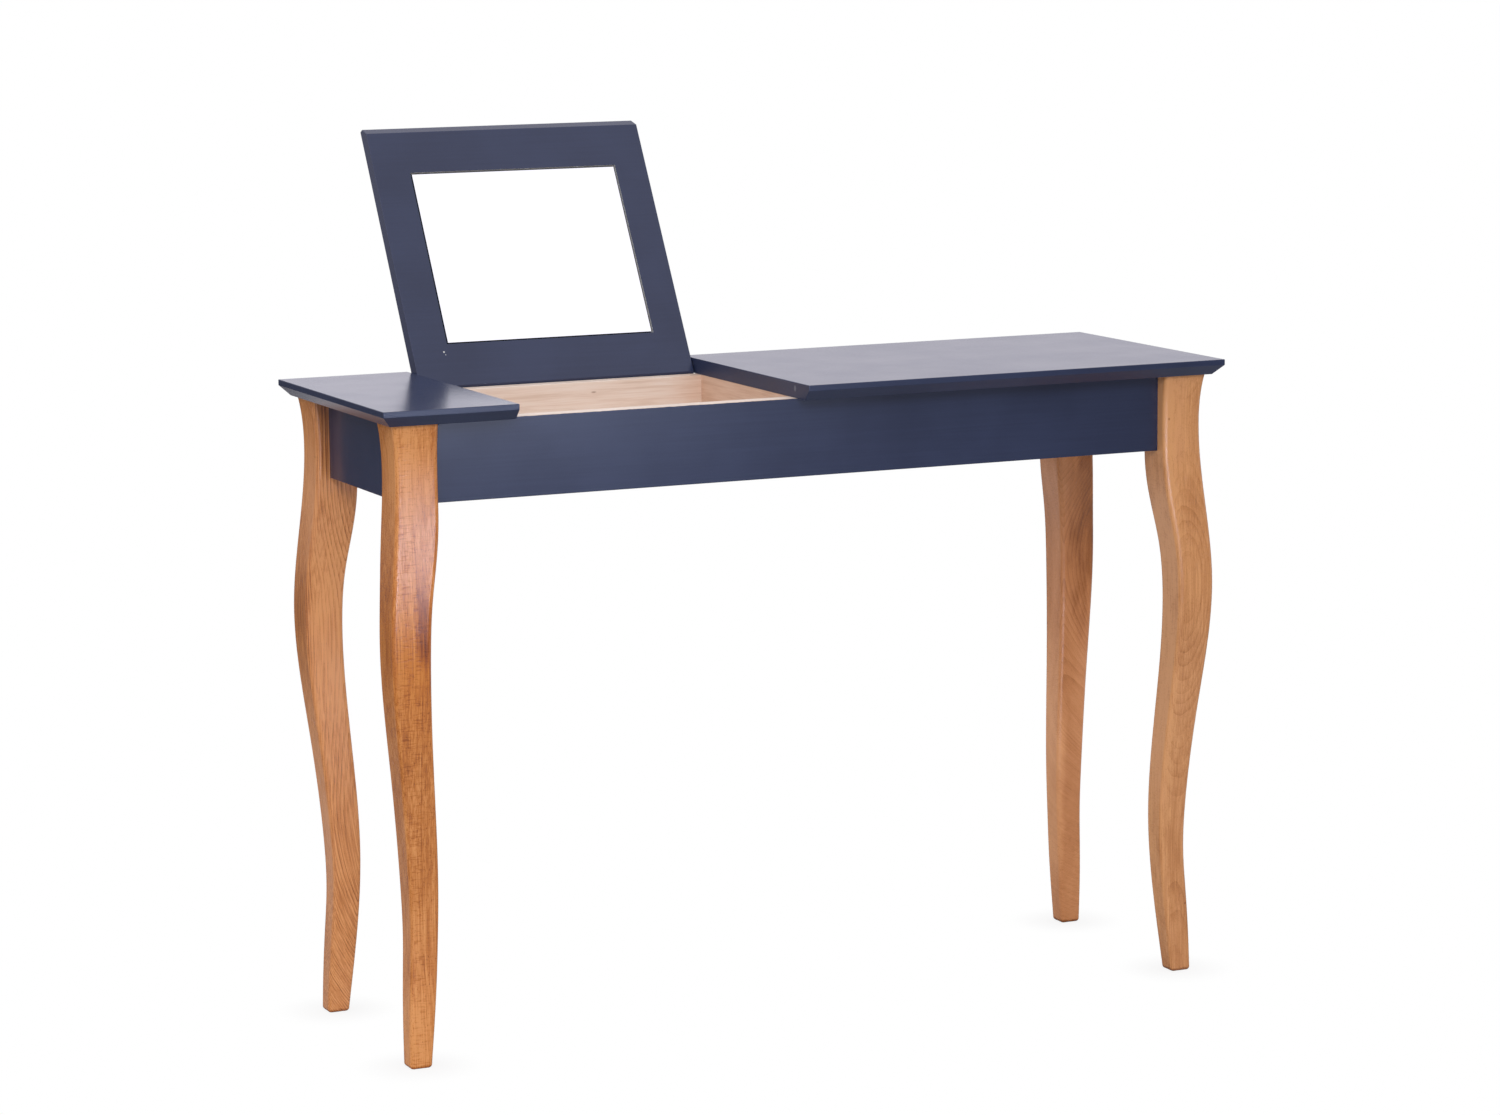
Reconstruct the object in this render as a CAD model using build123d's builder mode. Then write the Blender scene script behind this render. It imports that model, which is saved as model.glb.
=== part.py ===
# Vanity table: a beech-legged console whose top has a flip-up lid with a mirror inside.
# Millimetres, +X to the sitter's right, +Y to the back, +Z up, floor at z = 0.
# The lid is modelled open, leaning back on the rear apron.
import os
from math import cos, radians, sin, sqrt

from build123d import *

os.makedirs("parts", exist_ok=True)

# Overall size of the table with the lid shut
width = 1050
depth = 350
height = 740

# Panels of the top
top_t = 18
edge_land = 6.5  # upright band above the under-bevel
bevel_in = 11  # how far the under-bevel cuts in
edge_ease = 0.8  # softened arris
left_panel_w = 158
lid_opening = 350  # between the two fixed panels
lid_side_gap = 1.5
lid_seat_gap = 0.3  # the lid is this much thinner, so that it shuts flush

# Lid pivot
open_angle = 120
pivot_back = 23  # from the back edge of the top
pivot_drop = 9  # below the top face
stop_gap = 0.3  # left at the open stop
pin_d = 6
pin_in_panel = 20
pin_in_lid = 15
bush_d = 10
bush_wall_end = 3  # bush left beyond the pin's end
run_gap = 0.05  # radial, pin in bush
press_gap = 0.02  # radial, for pressed and glued fits
blind_gap = 0.5  # at the bottom of blind holes

# Aprons and compartment
apron_t = 18
apron_h = 90
divider_t = 18
bottom_t = 5
bottom_lift = 9  # compartment bottom above the aprons' lower edge
groove_depth = 6
groove_gap = 0.4

# Legs: insets are measured inwards from the edges of the top, on both sawn faces
leg_inner = 70  # inner faces, between the aprons
leg_top_in = 16
neck_in = 20.8
neck_drop = 60  # below the underside of the top
knee_in = 8.2
knee_drop = 240
shin_in = 20.5
shin_z = 318
ankle_in = 31.4
ankle_z = 160
foot_in = 25.3
foot_w = 26
calf_inner = 57.2
calf_drop = 202
waist_inner = 54
waist_z = 420
heel_inner = 65
heel_z = 185
arris_r = 5
foot_r = 4
leg_flat = 12  # flat on the inner corner, faces the brace

# Mirror
mirror_w = 259
mirror_h = 219
mirror_gap = 1.6  # all round, in the pocket
mirror_off = 2  # to the right of the lid's middle
mirror_sunk = 1.2  # glass face below the lid's face
glass_t = 4
glass_arris = 0.5
tape_t = 1
tape_w = 24
tape_len = 180
tape_pitch = 85

# Corner braces and leg bolts
brace_t = 18
brace_h = 62
brace_room = 8  # between the leg's flat and the brace
bolt_d = 8
bolt_in_leg = 32
bolt_slack = 0.5  # radial, in the brace
bolt_end = 4  # past the nut
washer_d = 24
washer_t = 2
nut_af = 13
nut_t = 6.5

# Screws, dowels and brackets
screw_d = 4
screw_head_d = 7.5
screw_head_t = 2.4
screw_slack = 0.25
brace_screw_seat = 6  # wood under the screw head
brace_screw_len = 19
brace_screw_rise = 19  # above and below the bolt
bracket_leg = 26
bracket_t = 2
bracket_w = 20
bracket_hole = 16  # from the bracket's corner
bracket_screw_len = 14
dowel_d = 8
dowel_in_apron = 11
dowel_in_divider = 19
dowel_rise = 22  # above and below the board's middle

# Heights
under = height - top_t
apron_low = under - apron_h
bolt_z = apron_low + apron_h / 2
bottom_z = apron_low + bottom_lift

# Lid sizes, measured from the pivot while shut: y to the back, z up
lid_t = top_t - lid_seat_gap
lid_w = lid_opening - 2 * lid_side_gap
lid_back = pivot_back
lid_front = pivot_back - depth
lid_land = pivot_drop - edge_land
lid_under = pivot_drop - lid_t
swing = radians(-open_angle)


def swung(y, z):
    """Place of a point of the shut lid once it is open, both measured from the pivot."""
    return (y * cos(swing) - z * sin(swing), y * sin(swing) + z * cos(swing))


# The open lid's rear bevel leans on the upper outer edge of the back apron, which sets the aprons back
bevel_foot = swung(lid_back - bevel_in, lid_under)
bevel_head = swung(lid_back, lid_land)
apron_rim = pivot_drop - top_t
rim_share = (bevel_foot[1] - apron_rim) / (bevel_foot[1] - bevel_head[1])
rim_share = min(max(rim_share, 0), 1)
lean_y = bevel_foot[0] + rim_share * (bevel_head[0] - bevel_foot[0])
apron_setback = pivot_back - lean_y + stop_gap
apron_back = apron_setback + apron_t  # inner face of an apron, from the edge of the top

# Plan: the origin is under the middle of the box that holds the table and its open lid
lid_reach = swung(lid_front, pivot_drop)[0] - pivot_back
half_w = width / 2
front_y = -(depth + lid_reach) / 2
back_y = front_y + depth
mid_y = front_y + depth / 2
front_inner = front_y + apron_back
back_inner = back_y - apron_back
inner_left = -half_w + left_panel_w
inner_right = inner_left + lid_opening
pivot = Vector(0, back_y - pivot_back, height - pivot_drop)
brace_low = bolt_z - brace_h / 2

# Corners of the table: sign of the inward direction along x and y
corners = {
    "front_left": (1, 1),
    "front_right": (-1, 1),
    "back_left": (1, -1),
    "back_right": (-1, -1),
}


def corner_point(way, u, v, z):
    """Point at insets u and v from the two edges that meet at one corner of the top."""
    x_way, y_way = way
    return (-x_way * (half_w - u), mid_y - y_way * (depth / 2 - v), z)


def drill(plane, diameter, deep):
    """Cut a round hole into the part at hand, from the plane along its normal."""
    with BuildSketch(plane) as mouth:
        Circle(diameter / 2)
    extrude(mouth.sketch, amount=deep, mode=Mode.SUBTRACT)


def finish(builder, name):
    """Label one piece and write it."""
    builder.part.label = name
    export_step(builder.part, f"parts/{name}.step")


def edge_profile(front, back, top, thick):
    """Section of a panel with an upright land and an under-bevel on its front and back edges."""
    return [
        (front, top),
        (front, top - edge_land),
        (front + bevel_in, top - thick),
        (back - bevel_in, top - thick),
        (back, top - edge_land),
        (back, top),
    ]


# Places of the angle brackets: point on a board's inner face under a panel, and the way the face looks
right_bay_x = (inner_right + divider_t + half_w - apron_back) / 2
bracket_spots = {
    "left_apron": ((-half_w + apron_back, mid_y), (1, 0)),
    "left_divider": ((inner_left - divider_t, mid_y), (-1, 0)),
    "right_divider": ((inner_right + divider_t, mid_y), (1, 0)),
    "right_apron": ((half_w - apron_back, mid_y), (-1, 0)),
    "front_apron": ((right_bay_x, front_inner), (0, 1)),
    "back_apron": ((right_bay_x, back_inner), (0, -1)),
}
left_panel_boards = ("left_apron", "left_divider")


def bracket_board_screw(board):
    """Seat of the screw that goes through a bracket into its board."""
    (x, y), (nx, ny) = bracket_spots[board]
    seat = (x + nx * bracket_t, y + ny * bracket_t, under - bracket_hole)
    return Plane(seat, z_dir=(-nx, -ny, 0))


def bracket_panel_screw(board):
    """Seat of the screw that goes through a bracket up into its panel."""
    (x, y), (nx, ny) = bracket_spots[board]
    seat = (x + nx * bracket_hole, y + ny * bracket_hole, under - bracket_t)
    return Plane(seat, z_dir=(0, 0, 1))


def drill_bracket_screw(plane):
    """Pilot hole for a bracket screw."""
    drill(plane, screw_d + 2 * press_gap, bracket_screw_len + blind_gap)


# Fixed panels of the top
def fixed_panel(name, outer_x, way, length, boards):
    """Panel from its outer end to the lid: bevelled on three sides, square beside the lid."""
    inner_x = outer_x + way * length
    with BuildPart() as panel:
        with BuildSketch(Plane((outer_x, 0, 0), x_dir=(0, way, 0), z_dir=(way, 0, 0))):
            with BuildLine():
                Polyline(*edge_profile(way * mid_y - depth / 2, way * mid_y + depth / 2, height, top_t), close=True)
            make_face()
        extrude(amount=length)
        with BuildSketch(Plane((outer_x, back_y, 0), x_dir=(1, 0, 0), z_dir=(0, -1, 0))):
            with BuildLine():
                Polyline((0, height - edge_land), (way * bevel_in, under), (0, under), close=True)
            make_face()
        extrude(amount=depth, mode=Mode.SUBTRACT)
        fillet(panel.edges(), radius=edge_ease)
        drill(
            Plane((inner_x, pivot.Y, pivot.Z), z_dir=(-way, 0, 0)),
            pin_d + 2 * press_gap,
            pin_in_panel + blind_gap,
        )
        for board in boards:
            drill_bracket_screw(bracket_panel_screw(board))
    finish(panel, name)


right_panel_boards = [board for board in bracket_spots if board not in left_panel_boards]
fixed_panel("left_top", -half_w, 1, left_panel_w, left_panel_boards)
fixed_panel("right_top", half_w, -1, half_w - inner_right, right_panel_boards)

# Lid, built in its own tilted frame
lid_back_way = Vector(0, *swung(1, 0))
lid_up_way = Vector(0, *swung(0, 1))
lid_left_x = inner_left + lid_side_gap
lid_right_x = inner_right - lid_side_gap
lid_mid_x = (lid_left_x + lid_right_x) / 2
lid_middle = pivot + Vector(lid_mid_x, 0, 0) + lid_back_way * (pivot_back - depth / 2)
mirror_middle = lid_middle + Vector(mirror_off, 0, 0)
pocket_depth = tape_t + glass_t + mirror_sunk
bush_len = pin_in_lid + bush_wall_end


def lid_face(depth_in):
    """Plane at the mirror's middle, at a depth from the lid's underside, looking out of the underside."""
    return Plane(mirror_middle + lid_up_way * (lid_under + depth_in), x_dir=(1, 0, 0), z_dir=-lid_up_way)


with BuildPart() as lid:
    with BuildSketch(Plane(pivot + Vector(lid_left_x, 0, 0), x_dir=lid_back_way, z_dir=(1, 0, 0))):
        with BuildLine():
            Polyline(*edge_profile(lid_front, lid_back, pivot_drop, lid_t), close=True)
        make_face()
    extrude(amount=lid_w)
    fillet(lid.edges(), radius=edge_ease)
    with BuildSketch(lid_face(0)):
        Rectangle(mirror_w + 2 * mirror_gap, mirror_h + 2 * mirror_gap)
    extrude(amount=-pocket_depth, mode=Mode.SUBTRACT)
    for end_x, way in ((lid_left_x, 1), (lid_right_x, -1)):
        drill(
            Plane(pivot + Vector(end_x, 0, 0), z_dir=(way, 0, 0)),
            bush_d + 2 * press_gap,
            bush_len + blind_gap,
        )
finish(lid, "lid")

# Mirror and the tape that holds it
with BuildPart() as mirror_glass:
    with BuildSketch(lid_face(mirror_sunk + glass_t)):
        Rectangle(mirror_w, mirror_h)
    extrude(amount=glass_t)
    chamfer(mirror_glass.faces().sort_by(Axis(lid_middle, -lid_up_way))[-1].edges(), length=glass_arris)
finish(mirror_glass, "mirror_glass")

with BuildPart() as mirror_tape:
    with BuildSketch(lid_face(pocket_depth)):
        with GridLocations(tape_pitch, 0, 3, 1):
            Rectangle(tape_w, tape_len)
    extrude(amount=tape_t)
finish(mirror_tape, "mirror_tape")

# Pivot pins, fast in the fixed panels, and bushes, fast in the lid
pin_len = pin_in_panel + lid_side_gap + pin_in_lid
for side, panel_end, lid_end, way in (
    ("left", inner_left, lid_left_x, 1),
    ("right", inner_right, lid_right_x, -1),
):
    with BuildPart() as pivot_pin:
        with BuildSketch(Plane(pivot + Vector(panel_end - way * pin_in_panel, 0, 0), z_dir=(way, 0, 0))):
            Circle(pin_d / 2)
        extrude(amount=pin_len)
        chamfer(pivot_pin.edges(), length=edge_ease / 2)
    finish(pivot_pin, f"pivot_pin_{side}")
    with BuildPart() as pivot_bush:
        with BuildSketch(Plane(pivot + Vector(lid_end, 0, 0), z_dir=(way, 0, 0))):
            Circle(bush_d / 2)
            Circle(pin_d / 2 + run_gap, mode=Mode.SUBTRACT)
        extrude(amount=bush_len)
    finish(pivot_bush, f"pivot_bush_{side}")


# Screws that hold a brace to an apron: seat of each, driven outwards
def brace_screw_seats(way, along):
    """Two seats on one end of a corner brace. along is "x" for the end on a front or back apron."""
    spot = (brace_outer + brace_inner) / 2 - apron_back
    insets = (spot, apron_back + brace_screw_seat)
    drive = (0, -way[1], 0)
    if along == "y":
        insets = insets[::-1]
        drive = (-way[0], 0, 0)
    heights = (bolt_z - brace_screw_rise, bolt_z + brace_screw_rise)
    return [Plane(corner_point(way, *insets, z), z_dir=drive) for z in heights]


# A brace lies between two lines u + v = constant, in insets from the corner
brace_outer = 2 * leg_inner - leg_flat + brace_room * sqrt(2)
brace_inner = brace_outer + brace_t * sqrt(2)
screw_in_apron = brace_screw_len - brace_screw_seat


def drill_brace_pilots(way, along):
    """Pilot holes in an apron for one brace end."""
    for seat in brace_screw_seats(way, along):
        drill(seat.offset(brace_screw_seat), screw_d + 2 * press_gap, screw_in_apron + blind_gap)


# Places of the divider dowels
dowel_heights = (bolt_z - dowel_rise, bolt_z + dowel_rise)
divider_mid_x = (inner_left - divider_t / 2, inner_right + divider_t / 2)


def dowel_seats(mid_x, way):
    """Middles of the joints at one end of a divider, looking into the divider. way is 1 at the front."""
    y = front_inner if way == 1 else back_inner
    return [Plane((mid_x, y, z), z_dir=(0, way, 0)) for z in dowel_heights]


# Front and back aprons
tongue = groove_depth - groove_gap
apron_len = width - 2 * leg_inner
for name, way, ends in (
    ("front_apron", 1, ("front_left", "front_right")),
    ("back_apron", -1, ("back_left", "back_right")),
):
    outer_y = mid_y - way * (depth / 2 - apron_setback)
    inner_y = outer_y + way * apron_t
    with BuildPart() as apron:
        with BuildSketch(Plane((0, (outer_y + inner_y) / 2, apron_low))):
            Rectangle(apron_len, apron_t)
        extrude(amount=apron_h)
        fillet(apron.edges().filter_by(Axis.X), radius=edge_ease)
        groove_mid = ((inner_left + inner_right) / 2, inner_y, bottom_z)
        with BuildSketch(Plane(groove_mid)):
            Rectangle(lid_opening + 2 * groove_depth, 2 * groove_depth)
        extrude(amount=bottom_t + groove_gap, mode=Mode.SUBTRACT)
        for mid_x in divider_mid_x:
            for seat in dowel_seats(mid_x, way):
                drill(seat, dowel_d + 2 * press_gap, -dowel_in_apron - blind_gap)
        for corner in ends:
            drill_brace_pilots(corners[corner], "x")
        drill_bracket_screw(bracket_board_screw(name))
    finish(apron, name)

# Side aprons
side_len = depth - 2 * leg_inner
for name, way, ends in (
    ("left_apron", 1, ("front_left", "back_left")),
    ("right_apron", -1, ("front_right", "back_right")),
):
    outer_x = -way * (half_w - apron_setback)
    with BuildPart() as apron:
        with BuildSketch(Plane((outer_x + way * apron_t / 2, mid_y, apron_low))):
            Rectangle(apron_t, side_len)
        extrude(amount=apron_h)
        fillet(apron.edges().filter_by(Axis.Y), radius=edge_ease)
        for corner in ends:
            drill_brace_pilots(corners[corner], "y")
        drill_bracket_screw(bracket_board_screw(name))
    finish(apron, name)

# Dividers, the end walls of the compartment
inner_depth = back_inner - front_inner
for name, mid_x, inner_x in (
    ("left_divider", divider_mid_x[0], inner_left),
    ("right_divider", divider_mid_x[1], inner_right),
):
    with BuildPart() as divider:
        with BuildSketch(Plane((mid_x, mid_y, apron_low))):
            Rectangle(divider_t, inner_depth)
        extrude(amount=apron_h)
        with BuildSketch(Plane((inner_x, mid_y, bottom_z))):
            Rectangle(2 * groove_depth, inner_depth)
        extrude(amount=bottom_t + groove_gap, mode=Mode.SUBTRACT)
        for way in (1, -1):
            for seat in dowel_seats(mid_x, way):
                drill(seat, dowel_d + 2 * press_gap, dowel_in_divider + blind_gap)
        drill_bracket_screw(bracket_board_screw(name))
    finish(divider, name)

with BuildPart() as divider_dowels:
    for mid_x in divider_mid_x:
        for way in (1, -1):
            for seat in dowel_seats(mid_x, way):
                with BuildSketch(seat.offset(-dowel_in_apron)):
                    Circle(dowel_d / 2)
                extrude(amount=dowel_in_apron + dowel_in_divider)
finish(divider_dowels, "divider_dowels")

with BuildPart() as compartment_bottom:
    with BuildSketch(Plane(((inner_left + inner_right) / 2, mid_y, bottom_z))):
        Rectangle(lid_opening + 2 * tongue, inner_depth + 2 * tongue)
    extrude(amount=bottom_t)
finish(compartment_bottom, "compartment_bottom")

# Legs: one S-profile sawn on two faces of a square blank
flat_inset = leg_inner - leg_flat / 2
outer_curve = [
    (leg_top_in, under),
    (neck_in, under - neck_drop),
    (knee_in, under - knee_drop),
    (shin_in, shin_z),
    (ankle_in, ankle_z),
    (foot_in, 0),
]
inner_curve = [
    (foot_in + foot_w, 0),
    (heel_inner, heel_z),
    (waist_inner, waist_z),
    (calf_inner, under - calf_drop),
    (leg_inner, apron_low),
]
top_lean = (0.2, -1)
foot_lean = (-0.02, -1)
heel_lean = (0.1, 1)
upright = (0, 1)


def leg_profile():
    """Closed outline of a leg, as (inset, height)."""
    with BuildLine() as outline:
        Spline(*outer_curve, tangents=(top_lean, foot_lean))
        Line(outer_curve[-1], inner_curve[0])
        Spline(*inner_curve, tangents=(heel_lean, upright))
        Polyline(inner_curve[-1], (leg_inner, under), outer_curve[0])
    return outline.line


def leg_bolt(way):
    """Middle of the flat on the leg's inner corner, looking along the bolt towards the brace."""
    x_way, y_way = way
    return Plane(corner_point(way, flat_inset, flat_inset, bolt_z), z_dir=(x_way, y_way, 0))


for corner, way in corners.items():
    x_way, y_way = way
    edge_point = corner_point(way, 0, 0, 0)
    with BuildPart() as leg:
        with BuildSketch(Plane(edge_point, x_dir=(x_way, 0, 0), z_dir=(0, -x_way, 0))):
            with BuildLine():
                add(leg_profile())
            make_face()
        extrude(amount=leg_inner, both=True)
        with BuildSketch(Plane(edge_point, x_dir=(0, y_way, 0), z_dir=(y_way, 0, 0))):
            with BuildLine():
                add(leg_profile())
            make_face()
        extrude(amount=leg_inner, both=True, mode=Mode.INTERSECT)
        arrises = leg.edges().filter_by(lambda edge: edge.bounding_box().size.Z > apron_h / 2)
        fillet(arrises, radius=arris_r)
        fillet(leg.edges().group_by(Axis.Z)[0], radius=foot_r)
        with BuildSketch(Plane(corner_point(way, leg_inner, leg_inner, brace_low))):
            with BuildLine():
                Polyline((0, 0), (-x_way * leg_flat, 0), (0, -y_way * leg_flat), close=True)
            make_face()
        extrude(amount=under - brace_low, mode=Mode.SUBTRACT)
        drill(leg_bolt(way), bolt_d + 2 * press_gap, -bolt_in_leg - blind_gap)
    finish(leg, f"leg_{corner}")

# Corner braces
for corner, way in corners.items():
    with BuildPart() as brace:
        with BuildSketch(Plane.XY.offset(brace_low)):
            with BuildLine():
                Polyline(
                    corner_point(way, brace_outer - apron_back, apron_back, 0),
                    corner_point(way, brace_inner - apron_back, apron_back, 0),
                    corner_point(way, apron_back, brace_inner - apron_back, 0),
                    corner_point(way, apron_back, brace_outer - apron_back, 0),
                    close=True,
                )
            make_face()
        extrude(amount=brace_h)
        drill(leg_bolt(way), bolt_d + 2 * bolt_slack, brace_room + 2 * brace_t)
        for along in ("x", "y"):
            for seat in brace_screw_seats(way, along):
                drill(seat, screw_d + 2 * screw_slack, brace_screw_seat)
                drill(seat, screw_head_d + 4 * screw_slack, -2 * brace_t)
    finish(brace, f"corner_brace_{corner}")

# Leg bolts with their washers and nuts
brace_face = brace_room + brace_t
bolt_len = bolt_in_leg + brace_face + washer_t + nut_t + bolt_end
with BuildPart() as hanger_bolts:
    for way in corners.values():
        with BuildSketch(leg_bolt(way).offset(-bolt_in_leg)):
            Circle(bolt_d / 2)
        extrude(amount=bolt_len)
finish(hanger_bolts, "hanger_bolts")

with BuildPart() as bolt_washers:
    for way in corners.values():
        with BuildSketch(leg_bolt(way).offset(brace_face)):
            Circle(washer_d / 2)
            Circle(bolt_d / 2 + bolt_slack, mode=Mode.SUBTRACT)
        extrude(amount=washer_t)
finish(bolt_washers, "bolt_washers")

with BuildPart() as bolt_nuts:
    for way in corners.values():
        with BuildSketch(leg_bolt(way).offset(brace_face + washer_t)):
            RegularPolygon(nut_af / 2, 6, major_radius=False)
            Circle(bolt_d / 2 + press_gap, mode=Mode.SUBTRACT)
        extrude(amount=nut_t)
finish(bolt_nuts, "bolt_nuts")


def add_screw(seat, length):
    """Pan-head screw whose head stands behind the seat."""
    with BuildSketch(seat) as head:
        Circle(screw_head_d / 2)
    extrude(head.sketch, amount=-screw_head_t)
    with BuildSketch(seat) as shank:
        Circle(screw_d / 2)
    extrude(shank.sketch, amount=length)


with BuildPart() as brace_screws:
    for way in corners.values():
        for along in ("x", "y"):
            for seat in brace_screw_seats(way, along):
                add_screw(seat, brace_screw_len)
finish(brace_screws, "brace_screws")

# Angle brackets that hold the fixed panels, and their screws
with BuildPart() as top_brackets:
    for (x, y), (nx, ny) in bracket_spots.values():
        sideways = Vector(ny, -nx, 0)
        start = Vector(x, y, under) - sideways * (bracket_w / 2)
        with BuildSketch(Plane(start, x_dir=(nx, ny, 0), z_dir=sideways)):
            with BuildLine():
                Polyline(
                    (0, 0),
                    (bracket_leg, 0),
                    (bracket_leg, -bracket_t),
                    (bracket_t, -bracket_t),
                    (bracket_t, -bracket_leg),
                    (0, -bracket_leg),
                    close=True,
                )
            make_face()
        extrude(amount=bracket_w)
    for board in bracket_spots:
        for seat in (bracket_board_screw(board), bracket_panel_screw(board)):
            drill(seat, screw_d + 2 * screw_slack, bracket_t)
finish(top_brackets, "top_brackets")

with BuildPart() as bracket_screws:
    for board in bracket_spots:
        add_screw(bracket_board_screw(board), bracket_screw_len)
        add_screw(bracket_panel_screw(board), bracket_screw_len)
finish(bracket_screws, "bracket_screws")
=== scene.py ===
from math import cos, radians, sin

import bmesh
import bpy
from mathutils import Matrix, Vector


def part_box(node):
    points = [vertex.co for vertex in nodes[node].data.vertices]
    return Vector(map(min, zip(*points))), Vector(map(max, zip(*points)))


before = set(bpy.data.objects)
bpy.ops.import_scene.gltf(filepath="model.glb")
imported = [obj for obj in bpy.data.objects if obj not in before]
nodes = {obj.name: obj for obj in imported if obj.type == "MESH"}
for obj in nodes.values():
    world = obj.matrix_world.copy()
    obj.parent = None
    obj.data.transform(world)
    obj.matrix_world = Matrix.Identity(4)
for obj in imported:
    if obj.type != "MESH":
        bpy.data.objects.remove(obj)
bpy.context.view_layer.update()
print("frame loaded:", len(nodes), "nodes")

millimetre = 0.001
perMetre = 1000  # millimetres
perRadian = 57.3  # degrees
white = (1.0, 1.0, 1.0, 1.0)
acrossTable = Vector((1, 0, 0))


class Wire:  # one socket of a material, with plain arithmetic
    def __init__(self, tree, socket=None):
        self.tree = tree
        self.socket = socket

    def feed(self, target, value):
        if isinstance(value, Wire):
            self.tree.links.new(value.socket, target)
        else:
            target.default_value = value

    def node(self, kind, settings=None, sockets=None, out=0):  # any node: settings first, then its sockets
        made = self.tree.nodes.new("ShaderNode" + kind)
        for key, value in (settings or {}).items():
            if key == "stops":
                setStops(made.color_ramp.elements, value)
            else:
                setattr(made, key, value)
        for key, value in (sockets or {}).items():
            self.feed(made.inputs[key], value)
        return Wire(self.tree, made.outputs[out])

    def math(self, operation, *values):
        return self.node("Math", {"operation": operation}, dict(enumerate(values)))

    def __add__(self, other):
        return self.math("ADD", self, other)

    def __sub__(self, other):
        return self.math("SUBTRACT", self, other)

    def __rsub__(self, other):
        return self.math("SUBTRACT", other, self)

    def __mul__(self, other):
        return self.math("MULTIPLY", self, other)

    def __truediv__(self, other):
        return self.math("DIVIDE", self, other)

    def __pow__(self, other):
        return self.math("POWER", self, other)

    def __abs__(self):
        return self.math("ABSOLUTE", self)

    __radd__ = __add__
    __rmul__ = __mul__

    def most(self, other):
        return self.math("MAXIMUM", self, other)

    def least(self, other):
        return self.math("MINIMUM", self, other)

    def angleFrom(self, other):  # in radians, 0 where this is nothing and the other is positive
        return self.math("ARCTAN2", self, other)

    def step(self, start, end):  # 0 to 1, eased, as the value goes from start to end
        sockets = {"Value": self, "From Min": start, "From Max": end}
        return self.node("MapRange", {"interpolation_type": "SMOOTHSTEP"}, sockets)

    def blend(self, low, high, way="MIX"):  # from one colour to another, or to the two multiplied
        settings = {"data_type": "RGBA", "blend_type": way}
        return self.node("Mix", settings, {0: self, 6: low, 7: high}, out=2)

    def ramp(self, stops):  # a colour from a row of stops
        return self.node("ValToRGB", {"stops": stops}, {"Fac": self})

    def parts(self):  # x, y and z of a vector
        split = self.node("SeparateXYZ", {}, {0: self}).socket.node
        return [Wire(self.tree, socket) for socket in split.outputs]

    def vector(self, x, y, z):
        return self.node("CombineXYZ", {}, {0: x, 1: y, 2: z})

    def stretch(self, scale):  # a vector scaled evenly, or along each axis
        scale = scale if isinstance(scale, tuple) else (scale, scale, scale)
        return self.node("VectorMath", {"operation": "MULTIPLY"}, {0: self, 1: scale})

    def dot(self, way):
        return self.node("VectorMath", {"operation": "DOT_PRODUCT"}, {0: self, 1: way}, out="Value")

    def awayFrom(self, point):  # distance to a point
        return self.node("VectorMath", {"operation": "DISTANCE"}, {0: self, 1: point}, out="Value")

    def within(self, centre, size):  # 0 in the middle of an oval spot, 1 on its rim
        reach = self.node("VectorMath", {"operation": "SUBTRACT"}, {0: self, 1: centre})
        return reach.stretch(tuple(1 / part for part in size)).awayFrom((0, 0, 0))

    def noise(self, fineness, detail=2.0, rough=0.5, warp=0.0):  # from 0 to 1 over a place
        where = self.stretch(fineness)
        sockets = {"Vector": where, "Scale": 1.0, "Detail": detail, "Roughness": rough, "Distortion": warp}
        return self.node("TexNoise", {}, sockets)

    def sway(self, *pattern):  # noise about nothing
        return self.noise(*pattern) - 0.5


def setStops(elements, stops):
    while len(elements) < len(stops):
        elements.new(1.0)
    for element, (place, colour) in zip(elements, stops):
        element.position = place
        element.color = colour


def srgb(red, green, blue):  # screen colour to the linear one that the shader takes
    parts = [part / 255 for part in (red, green, blue)]
    return tuple(p / 12.92 if p < 0.04045 else ((p + 0.055) / 1.055) ** 2.4 for p in parts) + (1.0,)


def newMaterial(name, fixed=None):  # a shader with its fixed values set; returns it with a wire to build on
    material = bpy.data.materials.new(name)
    material.use_nodes = True
    shader = material.node_tree.nodes["Principled BSDF"]
    for key, value in (fixed or {}).items():
        shader.inputs[key].default_value = value
    return material, shader, Wire(material.node_tree)


def finishSurface(wire, shader, colour=None, roughness=None, height=None, depth=0.0):  # depth in millimetres
    if colour is not None:
        wire.feed(shader.inputs["Base Color"], colour)
    if roughness is not None:
        wire.feed(shader.inputs["Roughness"], roughness)
    if height is not None:
        sockets = {"Strength": 1.0, "Distance": depth * millimetre, "Height": height}
        wire.feed(shader.inputs["Normal"], wire.node("Bump", {}, sockets))


def placeOf(wire):  # object coordinates in millimetres
    return wire.node("TexCoord", {}, out="Object").stretch(perMetre)


def alongBoard(pattern, along):  # a pattern, fine along and across, turned to run along x or y
    (lengthwise, across), *rest = pattern
    fineness = (lengthwise, across, across) if along == "x" else (across, lengthwise, across)
    return fineness, *rest


def dress(material, *names):
    for name in names:
        mesh = nodes[name].data
        mesh.materials.clear()
        mesh.materials.append(material)


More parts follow.
